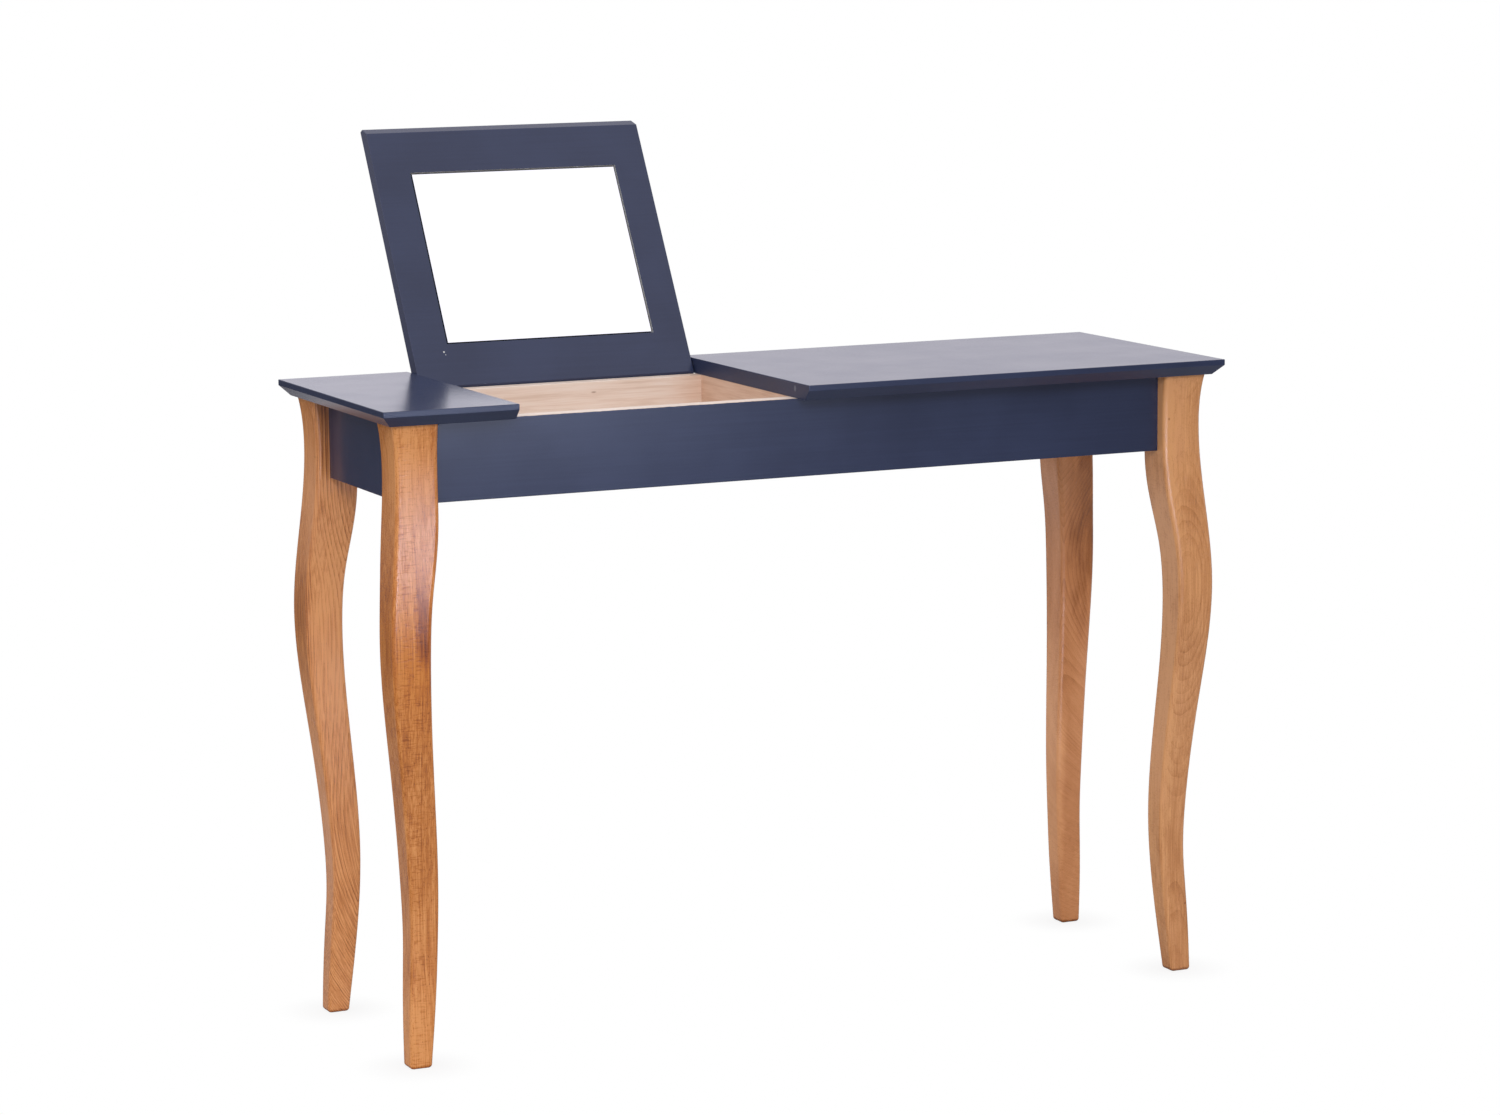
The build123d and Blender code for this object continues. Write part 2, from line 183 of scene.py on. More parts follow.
# paint: a pattern is its fineness per millimetre, then the noise's detail, roughness and warp
paintLook = {
    "colour": srgb(37, 45, 72),
    "pale": srgb(43, 52, 81),
    "primer": srgb(214, 214, 214),
    "ior": 1.45,
    "roughness": 0.21,
    "endRoughness": 0.42,  # on the end grain beside the opening
    "lidEndPaintedSheen": srgb(56, 62, 90),  # paler on the lid's ends, a painted sheen for the light those faces reflect
    "endReach": (0.6, 0.4),  # millimetres in from an end
    "cloud": 0.011,  # slow unevenness
    "grain": ((0.008, 0.35), 3.0, 0.6),  # of the board under the paint, along it and across
    "stipple": 0.9,  # left by the roller
    "shares": (0.55, 0.25, 0.2),  # of cloud, grain and stipple in the shade
    "shades": (0.32, 0.68),  # the darkest and the palest
    "uneven": (0.08, 0.06),  # how cloud and stipple change the roughness
    "raised": (0.6, 0.4),  # how grain and stipple stand out
    "relief": 0.02,  # millimetres
    "chips": [  # place and half size, in millimetres, and how bare
        ((-327, 85.8, 762.2), (1.3, 1.3, 1.3), 1.0),
        ((-325.6, 84.0, 759.0), (0.8, 0.8, 0.8), 0.7),
        ((-17.2, -212, 733), (1.5, 3.5, 4.5), 0.16),
    ],
    "chipRim": (1.0, 0.5),
    "chipRoughness": 0.3,
}
pocketHighlightLook = {  # pale walls above and to the right of the glass only, a painted highlight along those edges of the glass
    "colour": srgb(206, 206, 208),
    "room": (2.0, 2.0, 0.9),  # past the glass across, up and outwards, in millimetres
    "soft": 0.15,
    "rim": 0.5,
}


def paintCoat(place, along, rough):  # colour, roughness and height of rolled satin paint over boards
    cloud = place.noise(paintLook["cloud"])
    grain = place.noise(*alongBoard(paintLook["grain"], along))
    stipple = place.noise(paintLook["stipple"])
    ofCloud, ofGrain, ofStipple = paintLook["shares"]
    shade = (cloud * ofCloud + grain * ofGrain + stipple * ofStipple).step(*paintLook["shades"])
    colour = shade.blend(paintLook["colour"], paintLook["pale"])
    byCloud, byStipple = paintLook["uneven"]
    roughness = rough + (cloud - 0.5) * byCloud + (stipple - 0.5) * byStipple
    grainHeight, stippleHeight = paintLook["raised"]
    height = grain * grainHeight + stipple * stippleHeight
    return colour, roughness, height


def glassWays():  # the glass's middle, its facing and the way up along it
    low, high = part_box("mirror_glass")
    faces = nodes["mirror_glass"].data.polygons
    facing = max(faces, key=lambda face: face.area * (face.normal.z > 0)).normal
    return (low + high) / 2, facing.copy(), facing.cross(acrossTable)


def paintedPocketHighlight(place):  # 1 on the walls above and to the right of the glass, where the painted highlight goes
    middle, facing, up = glassWays()
    corners = [corner.co - middle for corner in nodes["mirror_glass"].data.vertices]
    inside, beyond = 1.0, 0.0
    for way, room in zip((acrossTable, up, facing), pocketHighlightLook["room"]):
        half = max(abs(corner.dot(way)) for corner in corners) * perMetre
        away = place.dot(way) - middle.dot(way) * perMetre
        inside = abs(away).step(half + room + pocketHighlightLook["soft"], half + room - pocketHighlightLook["soft"]) * inside
        if way is not facing:
            beyond = away.step(half, half + pocketHighlightLook["rim"]) + beyond
    return inside * beyond.least(1.0)


def paintMaterial():
    material, shader, wire = newMaterial("satinPaint", {"IOR": paintLook["ior"]})
    place = placeOf(wire)
    colour, roughness, height = paintCoat(place, "x", paintLook["roughness"])
    # painted highlight: the pocket walls above and right of the glass turn pale
    colour = paintedPocketHighlight(place).blend(colour, pocketHighlightLook["colour"])
    x = place.parts()[0]
    for end in (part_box("left_top")[1].x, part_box("right_top")[0].x):
        atEnd = abs(x - end * perMetre).step(*paintLook["endReach"])
        roughness = roughness + atEnd * (paintLook["endRoughness"] - paintLook["roughness"])
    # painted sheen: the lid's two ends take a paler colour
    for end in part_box("lid"):
        atEnd = abs(x - end.x * perMetre).step(*paintLook["endReach"])
        colour = atEnd.blend(colour, paintLook["lidEndPaintedSheen"])
    for centre, size, share in paintLook["chips"]:
        bare = place.within(centre, size).step(*paintLook["chipRim"]) * share
        colour = bare.blend(colour, paintLook["primer"])
        roughness = roughness + bare * paintLook["chipRoughness"]
        height = height - bare
    finishSurface(wire, shader, colour, roughness, height, paintLook["relief"])
    return material


dress(paintMaterial(), "left_top", "right_top", "lid")

# bare boards
boardLook = {
    "pale": [(0.0, srgb(212, 188, 172)), (0.45, srgb(227, 208, 195)), (1.0, srgb(233, 219, 210))],
    "warm": [(0.0, srgb(196, 158, 133)), (0.45, srgb(213, 179, 156)), (1.0, srgb(224, 196, 176))],
    "roughness": 0.45,
    "uneven": 0.15,  # how the lines change it
    "bands": ((0.010, 0.16), 3.0, 0.55, 0.6),
    "lines": ((0.03, 1.1), 2.0, 0.6),
    "shares": (0.65, 0.35),  # of bands and lines in the tone
    "tones": (0.25, 0.75),
    "relief": 0.06,  # millimetres
}
apronLook = {
    "roughness": 0.24,  # of its paint
    "relief": 0.03,  # millimetres
    "ragged": (0.2, 3.0),  # the paint's edge, not quite straight
    "wobble": 0.8,  # millimetres
    "edge": (-0.7, -0.4),  # how near the inside and the top the paint ends, in millimetres
    "knot": srgb(126, 84, 62),
    "knots": {"back_apron": [((-155.5, 46.8, 709.4), (4.5, 3.0, 1.5), 0.6)]},  # place, half size, share
    "knotRim": (1.0, 0.2),
    "paintedCornerShade": {"back_apron": (-72, -22, 0.6)},  # painted shade: warmer and darker between these places along the board, towards the corner by the right divider, and its share
    "paintedCornerShadeWobble": 20,  # times that of the paint's edge
}


def bareBoard(place, along, tint="pale"):  # light wood with its grain along one axis
    bands = place.noise(*alongBoard(boardLook["bands"], along))
    lines = place.noise(*alongBoard(boardLook["lines"], along))
    ofBands, ofLines = boardLook["shares"]
    tone = bands * ofBands + lines * ofLines
    colour = tone.step(*boardLook["tones"]).ramp(boardLook[tint])
    roughness = boardLook["roughness"] + (lines - 0.5) * boardLook["uneven"]
    return colour, roughness, lines


def boardMaterial(name, along, tint):
    material, shader, wire = newMaterial(name)
    finishSurface(wire, shader, *bareBoard(placeOf(wire), along, tint), boardLook["relief"])
    return material


def apronMaterial(name, node, along, inward):  # painted outside and below, bare inside and on the top edge
    low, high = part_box(node)
    axis = 1 if along == "x" else 0
    innerFace = (high if inward > 0 else low)[axis] * perMetre
    material, shader, wire = newMaterial(name, {"IOR": paintLook["ior"]})
    place = placeOf(wire)
    spot = place.parts()
    ragged = place.sway(*apronLook["ragged"]) * apronLook["wobble"]
    inside = ((spot[axis] - innerFace) * inward + ragged).step(*apronLook["edge"])
    onTop = (spot[2] - high[2] * perMetre + ragged).step(*apronLook["edge"])
    bare = inside.most(onTop)
    paint = paintCoat(place, along, apronLook["roughness"])
    wood = bareBoard(place, along)
    bareColour = wood[0]
    # painted shade on the back apron's bare wood, deepening towards the corner by the right divider
    if node in apronLook["paintedCornerShade"]:
        start, end, share = apronLook["paintedCornerShade"][node]
        paintedCornerShade = (spot[0] + ragged * apronLook["paintedCornerShadeWobble"]).step(start, end) * share
        bareColour = paintedCornerShade.blend(bareColour, bareBoard(place, along, "warm")[0])
    for centre, size, share in apronLook["knots"].get(node, []):
        knot = place.within(centre, size).step(*apronLook["knotRim"]) * share
        bareColour = knot.blend(bareColour, apronLook["knot"])
    colour = bare.blend(paint[0], bareColour)
    roughness = paint[1] + (wood[1] - paint[1]) * bare
    height = paint[2] + (wood[2] - paint[2]) * bare
    finishSurface(wire, shader, colour, roughness, height, apronLook["relief"])
    return material


for node, along, inward in (
    ("front_apron", "x", 1),
    ("back_apron", "x", -1),
    ("left_apron", "y", 1),
    ("right_apron", "y", -1),
):
    dress(apronMaterial(node + "Paint", node, along, inward), node)
braces = [name for name in nodes if name.startswith("corner_brace")]
dress(boardMaterial("dividerWood", "y", "warm"), "left_divider", "right_divider", "divider_dowels")
dress(boardMaterial("braceWood", "x", "pale"), "compartment_bottom", *braces)
print("paint and boards done")

# legs
legLooks = {
    "leg_front_left": {
        "pith": (150, -18),  # the tree's heart, from the middle of the leg, in millimetres
        "ring": 2.6,  # from one year's ring to the next
        "lines": 0.10,  # these five: how much each pattern darkens the wood
        "fibre": 1.15,
        "pores": 0.32,
        "bands": 0.5,
        "rays": 0.22,
        "blush": 0.05,  # share of pink
        "colours": ((223, 152, 90), (193, 118, 54), (150, 80, 32), (84, 40, 18)),
        "seam": (-478, -0.0137),  # a glue line between two boards: its x at the foot, and its lean
        "marksAndPaintedLight": [  # real marks and painted light and shade: place and half size, in millimetres, and how much darker
            ((-481, -239, 517), (11, 14, 68), 0.40),
            ((-480, -240, 472), (12, 14, 30), 0.20),
            # painted highlight: paler on the knee, carrying the sheen over the arris
            ((-495, -232, 560), (45, 45, 95), -0.09),
            ((-490, -225, 680), (40, 40, 110), -0.27),
            ((-480, -230, 40), (60, 60, 80), -0.24),
            # painted shade: darker on the left face at the knee
            ((-522, -200, 490), (15, 80, 260), 0.12),
        ],
        "paintedShadeTints": [((-485, -235, 475), (60, 60, 160), 1.0)],  # painted shade: yellower and darker here, which takes the blue of the sheen out
    },
    "leg_front_right": {
        "pith": (-6, -108),
        "ring": 1.7,
        "lines": 0.24,
        "fibre": 0.78,
        "pores": 0.25,
        "bands": 0.30,
        "rays": 0.10,
        "blush": 0.25,
        "colours": ((214, 153, 101), (184, 122, 72), (144, 88, 48), (88, 48, 26)),
        "marksAndPaintedLight": [
            ((461.6, -228.4, 670.8), (2.2, 2.2, 2.6), 0.7),
            ((492.8, -220.8, 82.2), (1.6, 1.6, 1.9), 0.6),
            # painted light: paler along the left face
            ((464, -200, 430), (16, 70, 520), -0.35),
            ((490, -235, 690), (40, 40, 110), -0.1),
            # painted light: paler on the left face beside the apron, where shade falls
            ((456, -232, 680), (13, 40, 70), -0.35),
            ((490, -235, 300), (45, 45, 170), -0.04),
            ((492, -238, 540), (40, 50, 170), -0.06),
        ],
    },
    "leg_back_left": {
        "pith": (62, -125),
        "sweep": (270, 0.0012, 0.0),  # the grain bends aside from this height: how fast below it, and above
        "ring": 2.4,
        "lines": 0.64,
        "fibre": 1.5,
        "pores": 0.16,
        "bands": 0.25,
        "rays": 0.08,
        "blush": 0.2,
        "colours": ((230, 161, 103), (204, 132, 76), (160, 95, 50), (96, 52, 28)),
        "marksAndPaintedLight": [
            ((-504.3, 38.2, 656.2), (1.6, 1.6, 2.0), 0.6),
            ((-480, 60, 480), (60, 60, 240), -0.28),
            # painted shade: darker on the front of the neck, by the apron
            ((-478, 40, 690), (28, 40, 90), 0.24),
            # painted shade: darker on the left face
            ((-522, 60, 470), (16, 80, 300), 0.42),
            ((-480, 70, 130), (60, 60, 140), 0.1),
        ],
    },
    "leg_back_right": {
        "pith": (-66, -128),
        "sweep": (470, 0.0022, 0.0018),
        "ring": 2.7,
        "lines": 0.22,
        "fibre": 0.32,
        "pores": 0.10,
        "bands": 0.25,
        "rays": 0.08,
        "blush": 0.2,
        "colours": ((224, 160, 110), (194, 128, 80), (146, 86, 40), (84, 44, 20)),
        "marksAndPaintedLight": [
            ((469.4, 82.6, 378.7), (1.4, 1.4, 1.8), 0.9),
            # painted shade: darker on the upper front, under the table
            ((510, 50, 600), (46, 44, 300), 0.5),
            # painted light: paler low on the left face
            ((462, 60, 200), (12, 60, 300), -0.25),
        ],
        # painted shade under the table: yellow-brown tint on the upper front
        "paintedShadeTints": [((510, 45, 600), (55, 50, 240), 1.0)],
    },
}
beechLook = {  # a name with From: where a pattern begins to show, and where it is full
    "tone": 0.29,  # where the plain wood lies on the row of colours
    "stopPlaces": (0.0, 0.35, 0.7, 1.0),
    "pink": srgb(205, 140, 104),
    "pinkFrom": (0.0, 0.35),
    # the painted shade tint, multiplied into the wood
    "paintedShadeTint": (0.97, 0.88, 0.58, 1.0),
    "roughness": 0.24,
    "uneven": 0.2,  # how the fibre changes it
    "relief": 0.06,  # millimetres
    "drift": (0.010, 0.010, 0.003),  # the slow wander of the grain
    "waver": (0.10, 0.10, 0.03),
    "wander": (5, 4, 0.8),  # by drift in x and y, and by waver outwards, in millimetres
    "band": ((0.14, 0.005, 0.0012), 3.0, 0.6),  # out from the heart, round it and up
    "bandPush": 3,  # how far bands push the rings, in millimetres
    "lateWood": (2.5, 0.28),  # how late in the ring it darkens, and the mean of that
    "lineFrom": (0.2, 0.7),  # which bands show their lines
    "fibre": ((0.6, 0.6, 0.012), 3.0, 0.6),
    "cloud": ((0.028, 0.028, 0.008), 3.0, 0.55),
    "clouds": 0.5,  # how much they darken the wood
    "ray": (0.07, 0.9, 0.58),  # out from the heart, round it and up
    "rayFrom": (0.50, 0.68),
    "raySunk": 0.7,
    "pore": ((1.1, 1.1, 0.30), 2.0, 0.6),
    "poreFrom": (0.58, 0.74),
    "poreMean": 0.12,
    "spotRim": (1.1, 0.1),  # of the spots of tone and of the painted shade tints
    "spotWaver": 0.8,
    "soleBand": (5, 2),  # dark round the sole, between these heights
    "soleBandWaver": 6,
    "soleBandDark": 0.4,
}
seamLook = {  # the glue line, and the darker board on its right
    "waver": 3,  # millimetres
    "turn": (-1, 1),  # from one board to the other
    "fewerFlecks": 0.55,
    "boardDark": 0.05,
    "poreDark": 0.1,
    "line": (1.2, 0.3),
    "lineDark": 0.17,
}


def beechMaterial(node, look):
    low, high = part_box(node)
    middle = (low + high) / 2 * perMetre
    material, shader, wire = newMaterial(node + "Beech")
    place = placeOf(wire)
    x, y, z = place.parts()
    drift = place.sway(beechLook["drift"])
    waver = place.sway(beechLook["waver"])
    grain = place
    if "sweep" in look:
        start, under, over = look["sweep"]
        gap = z - start
        x = x - gap * gap * (under + gap.math("GREATER_THAN", gap, 0.0) * (over - under))
        grain = wire.vector(x, y, z)
    driftX, driftY, waverOut = beechLook["wander"]
    fromX = x - (middle.x + look["pith"][0]) + drift * driftX
    fromY = y - (middle.y + look["pith"][1]) + drift * driftY
    radius = (fromX * fromX + fromY * fromY) ** 0.5 + waver * waverOut
    around = fromY.angleFrom(fromX) * Vector(look["pith"]).length
    inTree = wire.vector(radius, around, z)
    band = inTree.sway(*beechLook["band"])
    turn = (radius + band * beechLook["bandPush"]) / look["ring"]
    late, mean = beechLook["lateWood"]
    line = (turn.math("FRACT", turn) ** late - mean) * (band + 0.5).step(*beechLook["lineFrom"])
    fibre = grain.sway(*beechLook["fibre"])
    cloud = place.sway(*beechLook["cloud"])
    fleck = inTree.noise(beechLook["ray"]).step(*beechLook["rayFrom"])
    pore = grain.noise(*beechLook["pore"]).step(*beechLook["poreFrom"])
    tone = beechLook["tone"] + band * look["bands"] + line * look["lines"]
    tone = tone + fibre * look["fibre"] + cloud * beechLook["clouds"]
    if "seam" in look:
        foot, lean = look["seam"]
        away = x - foot - z * lean + waver * seamLook["waver"]
        right = away.step(*seamLook["turn"])
        fleck = fleck * (1 - right * seamLook["fewerFlecks"])
        tone = tone + right * (seamLook["boardDark"] + pore * seamLook["poreDark"])
        tone = tone + abs(away).step(*seamLook["line"]) * seamLook["lineDark"]
    tone = tone + fleck * look["rays"] + (pore - beechLook["poreMean"]) * look["pores"]
    for centre, size, amount in look["marksAndPaintedLight"]:
        toneSpot = place.within(centre, size) + waver * beechLook["spotWaver"]
        tone = tone + toneSpot.step(*beechLook["spotRim"]) * amount
    tone = tone + (z + waver * beechLook["soleBandWaver"]).step(*beechLook["soleBand"]) * beechLook["soleBandDark"]
    stops = [(spot, srgb(*colour)) for spot, colour in zip(beechLook["stopPlaces"], look["colours"])]
    blush = (cloud * -1 + drift).step(*beechLook["pinkFrom"]) * look["blush"]
    colour = blush.blend(tone.ramp(stops), beechLook["pink"])
    # painted shade: a yellow-brown tint multiplied in
    for centre, size, share in look.get("paintedShadeTints", []):
        shadeTinted = place.within(centre, size).step(*beechLook["spotRim"]) * share
        colour = shadeTinted.blend(colour, beechLook["paintedShadeTint"], "MULTIPLY")
    roughness = beechLook["roughness"] + fibre * beechLook["uneven"]
    height = fibre - fleck * beechLook["raySunk"]
    finishSurface(wire, shader, colour, roughness, height, beechLook["relief"])
    return material


for node, look in legLooks.items():
    dress(beechMaterial(node, look), node)
print("legs done")

# mirror
mirrorLook = {
    "silver": (0.93, 0.94, 0.94, 1.0),
    # the glass edge's green, made near black as painted shade for the gap round the glass
    "edge": srgb(34, 46, 43),
    "arris": 0.05,  # the silver ends here below the face, in millimetres
    "fade": 0.2,
    "edgeRoughness": 0.3,
    "haze": 0.02,
    "hazeFineness": 0.02,
}
tapeLook = {  # white foam
    "hollow": srgb(205, 205, 200),
    "wall": srgb(232, 232, 228),
    "roughness": 0.8,
    "cells": (2, 3.0),
    "relief": 0.1,  # millimetres
}


def mirrorMaterial():  # silver seen through the face, dark green glass at the ground edges, darkened further as a painted shade for the gap round the glass
    facing = glassWays()[1]
    material, shader, wire = newMaterial("silveredGlass")
    place = placeOf(wire)
    face = max(corner.co.dot(facing) for corner in nodes["mirror_glass"].data.vertices) * perMetre
    arris = -mirrorLook["arris"]
    edge = (place.dot(facing) - face).step(arris, arris - mirrorLook["fade"])
    haze = place.noise(mirrorLook["hazeFineness"])
    colour = edge.blend(mirrorLook["silver"], mirrorLook["edge"])
    wire.feed(shader.inputs["Metallic"], 1 - edge)
    finishSurface(wire, shader, colour, haze * mirrorLook["haze"] + edge * mirrorLook["edgeRoughness"])
    return material


def tapeMaterial():
    material, shader, wire = newMaterial("foamTape")
    cells = placeOf(wire).noise(*tapeLook["cells"])
    colour = cells.blend(tapeLook["hollow"], tapeLook["wall"])
    finishSurface(wire, shader, colour, tapeLook["roughness"], cells, tapeLook["relief"])
    return material


dress(mirrorMaterial(), "mirror_glass")
dress(tapeMaterial(), "mirror_tape")

# hardware
speckLook = {"pattern": (0.6, 3.0), "dull": 0.82, "uneven": 0.2, "relief": 0.02}  # on all of the metal
metalLooks = {
    "pinSteel": {
        "colour": (0.62, 0.62, 0.63),
        "roughness": 0.28,
        "pieces": ("pivot_pin_left", "pivot_pin_right"),
    },
    "zincSteel": {
        "colour": (0.70, 0.70, 0.72),
        "roughness": 0.36,
        "pieces": (
            "hanger_bolts", "bolt_washers", "bolt_nuts", "brace_screws", "top_brackets", "bracket_screws",
        ),
    },
    "bushBrass": {
        "colour": (0.76, 0.56, 0.28),
        "roughness": 0.3,
        "pieces": ("pivot_bush_left", "pivot_bush_right"),
    },
}


def metalMaterial(name, look):
    material, shader, wire = newMaterial(name, {"Metallic": 1.0})
    speck = placeOf(wire).noise(*speckLook["pattern"])
    dull = tuple(part * speckLook["dull"] for part in look["colour"])
    colour = speck.blend((*dull, 1.0), (*look["colour"], 1.0))
    roughness = look["roughness"] + (speck - 0.5) * speckLook["uneven"]
    finishSurface(wire, shader, colour, roughness, speck, speckLook["relief"])
    return material


for name, look in metalLooks.items():
    dress(metalMaterial(name, look), *look["pieces"])
print("mirror and hardware done")

# floor
floorLook = {  # sizes in metres
    "middle": (0.41, 0.25),
    "half": (1.19, 1.85),
    "roughness": 0.9,
    "colour": (0.66, 0.66, 0.67, 1.0),
    "shiny": (0.34, 0.34, 0.35, 1.0),  # darker as shiny surfaces show it by the table, a painted shade on the floor in reflections
    "glow": (0.74, 0.71, 0.76, 1.0),  # and further off
    "furtherOff": (0.8, 1.5),
    "footShade": 0.14,  # how much of the shadows shows, close round the feet
    "footReach": (0.08, 0.015),
    "sole": 0.003,  # height of what counts as the sole
}


def shinyRay(wire):  # 1 for what is seen in a reflection or through glass
    glossy = wire.node("LightPath", {}, out="Is Glossy Ray")
    through = wire.node("LightPath", {}, out="Is Transmission Ray")
    return (glossy + through).least(1.0)


def footOf(node):
    sole = [corner.co for corner in nodes[node].data.vertices if corner.co.z < floorLook["sole"]]
    return sum(sole, Vector()) / len(sole)


def floorMaterial():  # white to the camera, with what is left of the shadows by the feet
    material, shader, wire = newMaterial("studioFloor", {"Roughness": floorLook["roughness"]})
    camera = wire.node("LightPath", {}, out="Is Camera Ray")
    shiny = shinyRay(wire)
    glow = wire.node("Emission", {}, {"Color": shiny.blend(white, floorLook["glow"]), "Strength": 1.0})
    place = wire.node("TexCoord", {}, out="Object")
    near = place.awayFrom(footOf("leg_front_left"))
    for node in ("leg_front_right", "leg_back_left", "leg_back_right"):
        near = near.least(place.awayFrom(footOf(node)))
    away = place.awayFrom((0, 0, 0)).step(*floorLook["furtherOff"])
    share = camera * (1 - near.step(*floorLook["footReach"]) * floorLook["footShade"]) + shiny * away
    # painted shade: reflections see the floor darker by the table
    finishSurface(wire, shader, shiny.blend(floorLook["colour"], floorLook["shiny"]))
    mixed = wire.node("MixShader", {}, {0: share, 1: Wire(wire.tree, shader.outputs[0]), 2: glow})
    wire.feed(material.node_tree.nodes["Material Output"].inputs["Surface"], mixed)
    return material


def makeFloor():
    across, along = floorLook["half"]
    place = Matrix.Translation((*floorLook["middle"], 0.0)) @ Matrix.Diagonal((across, along, 1.0, 1.0))
    mesh = bpy.data.meshes.new("studioFloor")
    shape = bmesh.new()
    bmesh.ops.create_grid(shape, x_segments=1, y_segments=1, size=1.0, matrix=place)
    shape.to_mesh(mesh)
    shape.free()
    floor = bpy.data.objects.new("studioFloor", mesh)
    bpy.context.scene.collection.objects.link(floor)
    mesh.materials.append(floorMaterial())


makeFloor()

# surroundings: spans are of a direction's x, y or z, or of degrees to the right
worldLook = {
    "dome": 0.60,  # level of the soft light from all round
    "above": 0.57,  # how much brighter it is overhead
    "aboveSpan": (0.2, 0.95),
    "ahead": 0.25,  # and how much darker low down in front
    "aheadSpan": (0.2, 0.9),
    "aheadTop": (0.35, 0.1),
    "white": (1.0, 0.97, 1.06, 1.0),  # what shiny surfaces show of the white background
}
skyLook = {
    "level": 1.13,
    "span": (0.12, 0.40),
    "dim": 0.45,  # how much dimmer it is behind
    "dimSpan": (0.3, 0.7),
    "top": 0.3,  # and how much brighter overhead
    "topSpan": (0.76, 0.86),
}
backLook = {  # behind the table
    "white": {"from": (10, 16), "to": (46, 36), "level": 1.12},
    "dim": 0.16,
    "dimSpan": (17, 27),
    "top": (0.45, 0.3),
    "grey": {"from": (-80, -60), "to": (-24, -29), "level": 0.5},
    "card": (0.03, 0.30),  # level of the dim card on the left, low and high
    "cardFoot": (-0.116, -0.09),
    "cardEnd": (8, -8),
}
frontLook = {
    "room": 0.33,  # level of the room
    "roomSpan": (-0.15, 0.15),
    "left": {"from": (-95, -78), "to": (-6, -20), "level": 1.0},  # soft lights on the left and on the right
    "right": {"from": (48, 66), "to": (112, 98), "level": 1.0},
    "foot": (-0.35, -0.2),
    "top": (0.5, 0.3),
}


def between(angle, look):  # 1 from one direction to another, with soft ends
    return angle.step(*look["from"]) * angle.step(*look["to"])


def skyLevel(y, z):
    level = skyLook["level"] - y.step(*skyLook["dimSpan"]) * skyLook["dim"]
    return z.step(*skyLook["span"]) * level + z.step(*skyLook["topSpan"]) * skyLook["top"]


def backLevels(x, y, z):
    right = x.angleFrom(y) * perRadian  # of straight back
    level = backLook["white"]["level"] - right.step(*backLook["dimSpan"]) * backLook["dim"]
    backWhite = between(right, backLook["white"]) * level * z.step(*backLook["top"])
    backGrey = between(right, backLook["grey"]) * backLook["grey"]["level"]
    low, high = backLook["card"]
    card = low + z.step(*backLook["cardFoot"]) * right.step(*backLook["cardEnd"]) * (high - low)
    return backWhite, backGrey, card


def frontLevels(x, y, z):
    ahead = y * -1
    right = x.angleFrom(ahead) * perRadian  # of straight ahead
    height = z.step(*frontLook["foot"]) * z.step(*frontLook["top"])
    sides = [between(right, look) * height * look["level"] for look in (frontLook["left"], frontLook["right"])]
    return ahead.step(*frontLook["roomSpan"]) * frontLook["room"], *sides


def makeWorld():  # white for the camera, a soft dome for the light, white with dim cards in reflections
    world = bpy.data.worlds.new("studio")
    world.use_nodes = True
    bpy.context.scene.world = world
    wire = Wire(world.node_tree)
    x, y, z = wire.node("TexCoord", {}, out="Generated").parts()
    seen = skyLevel(y, z)
    for other in (*backLevels(x, y, z), *frontLevels(x, y, z)):
        seen = seen.most(other)
    lowAhead = (y * -1).step(*worldLook["aheadSpan"]) * z.step(*worldLook["aheadTop"])
    dome = worldLook["dome"] + z.step(*worldLook["aboveSpan"]) * worldLook["above"]
    dome = dome - lowAhead * worldLook["ahead"]
    shiny = shinyRay(wire)
    camera = wire.node("LightPath", {}, out="Is Camera Ray")
    level = dome + (seen - dome) * shiny
    level = level + (1 - level) * camera
    colour = (shiny * (1 - camera)).blend(white, worldLook["white"])
    background = world.node_tree.nodes["Background"]
    wire.feed(background.inputs["Color"], colour)
    wire.feed(background.inputs["Strength"], level)


makeWorld()

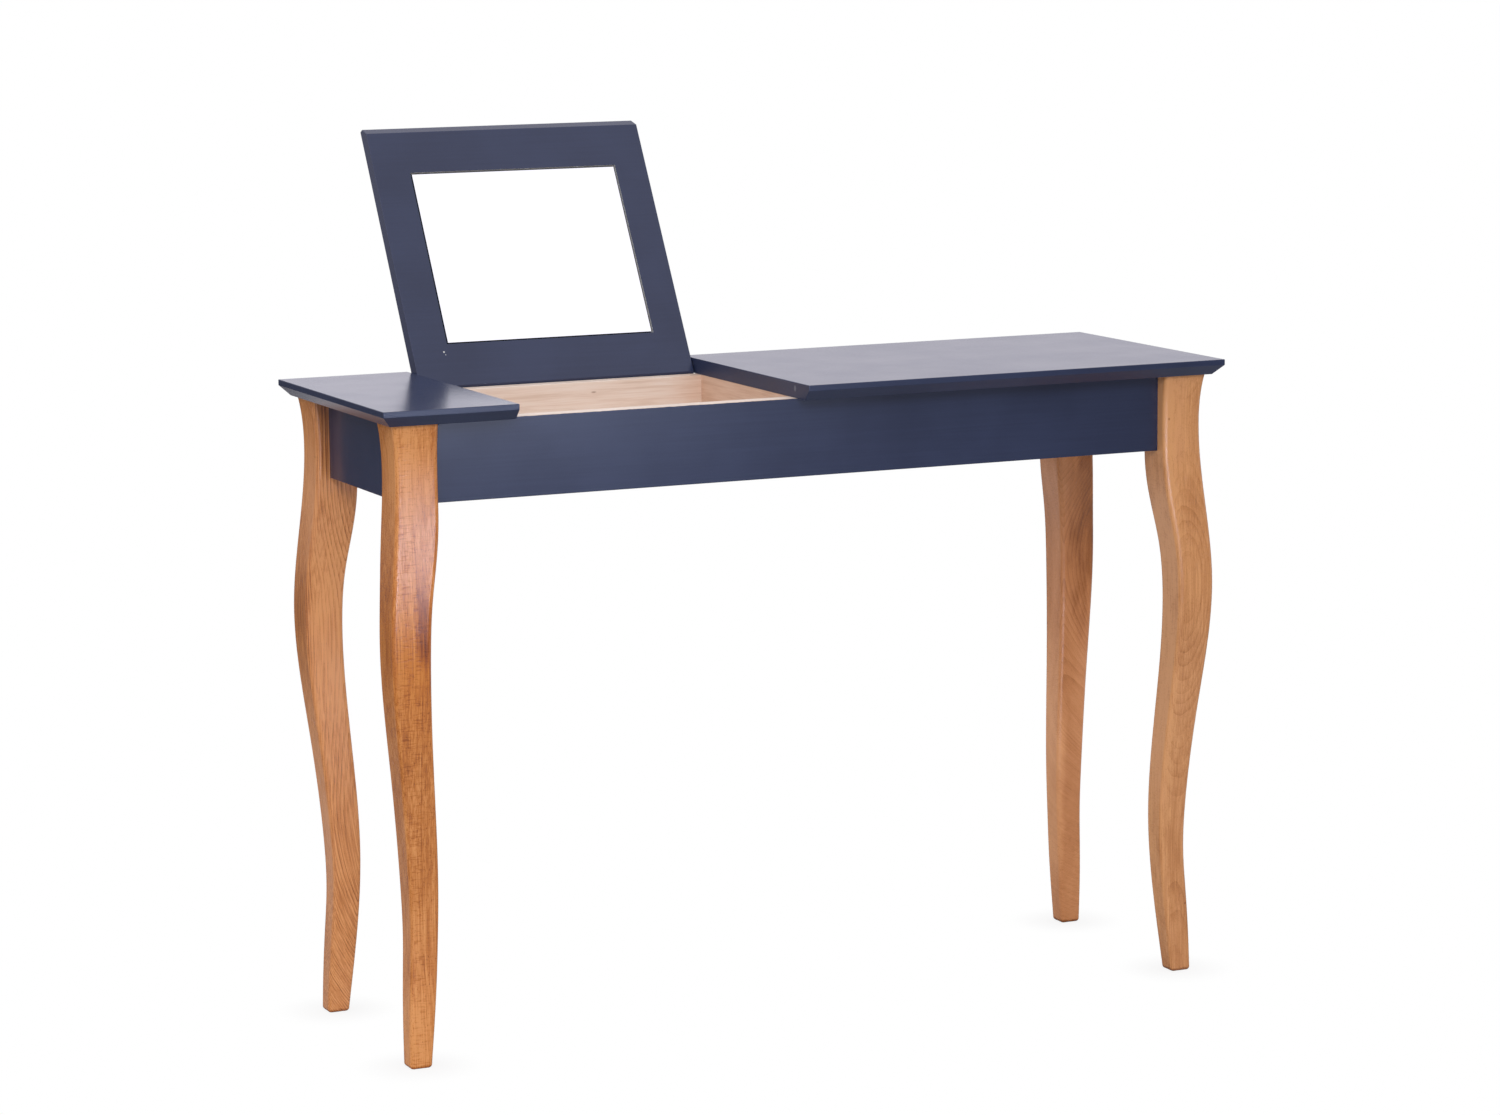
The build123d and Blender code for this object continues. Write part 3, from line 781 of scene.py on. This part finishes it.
# soft boxes, in metres: high in front for the light, low in front and nearer for the sheen
softBoxes = [
    {
        "place": (-1.35, -3.3, 2.2),
        "aim": (0.0, 0.0, 0.6),
        "size": (1.4, 1.2),
        "power": 47,
        "tint": (1.0, 1.0, 1.0),
        "sheen": False,
    },
    {
        "place": (-0.45, -3.7, 0.22),
        "aim": (-0.45, 0.0, 0.22),
        "size": (4.3, 0.28),
        "power": 5.4,
        "tint": (0.82, 0.94, 1.42),
        "sheen": True,
    },
    {
        "place": (-0.3, -2.5, 0.7),
        "aim": (-0.3, 0.0, 0.7),
        "size": (2.2, 0.08),
        "power": 21.0,
        "tint": (0.9, 0.97, 1.25),
        "sheen": True,
    },
]


def makeSoftBox(look):
    data = bpy.data.lights.new("softBox", "AREA")
    data.shape = "RECTANGLE"
    data.size, data.size_y = look["size"]
    data.energy = look["power"]
    data.color = look["tint"]
    lamp = bpy.data.objects.new("softBox", data)
    bpy.context.scene.collection.objects.link(lamp)
    facing = (Vector(look["place"]) - Vector(look["aim"])).to_track_quat("Z", "Y")
    lamp.matrix_world = Matrix.Translation(look["place"]) @ facing.to_matrix().to_4x4()
    lamp.visible_camera = False
    lamp.visible_glossy = look["sheen"]
    lamp.visible_diffuse = not look["sheen"]


for look in softBoxes:
    makeSoftBox(look)
print("studio done")

# camera
photoView = {
    "azimuth": 24.766,  # to the left of straight ahead
    "elevation": 9.017,
    "roll": -0.485,
    "distance": 5.1021,
    "aim": (-0.0113, 0.5194),  # x and z, over the middle of the table's depth
    "lens": 104.825,
    "sensor": 36,
}


def makeCamera():
    low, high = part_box("right_top")
    aim = Vector((photoView["aim"][0], (low.y + high.y) / 2, photoView["aim"][1]))
    turn, rise, roll = (radians(photoView[key]) for key in ("azimuth", "elevation", "roll"))
    back = Vector((-sin(turn) * cos(rise), -cos(turn) * cos(rise), sin(rise)))
    level = Vector((0, 0, 1)).cross(back).normalized()
    upright = back.cross(level)
    right = cos(roll) * level + sin(roll) * upright
    up = cos(roll) * upright - sin(roll) * level
    data = bpy.data.cameras.new("photoCamera")
    data.sensor_fit = "HORIZONTAL"
    data.sensor_width = photoView["sensor"]
    data.lens = photoView["lens"]
    camera = bpy.data.objects.new("photoCamera", data)
    bpy.context.scene.collection.objects.link(camera)
    turned = Matrix((right, up, back)).transposed().to_4x4()
    camera.matrix_world = Matrix.Translation(aim + back * photoView["distance"]) @ turned
    bpy.context.scene.camera = camera


makeCamera()
bpy.context.scene.view_settings.view_transform = "Standard"

print("scene done")
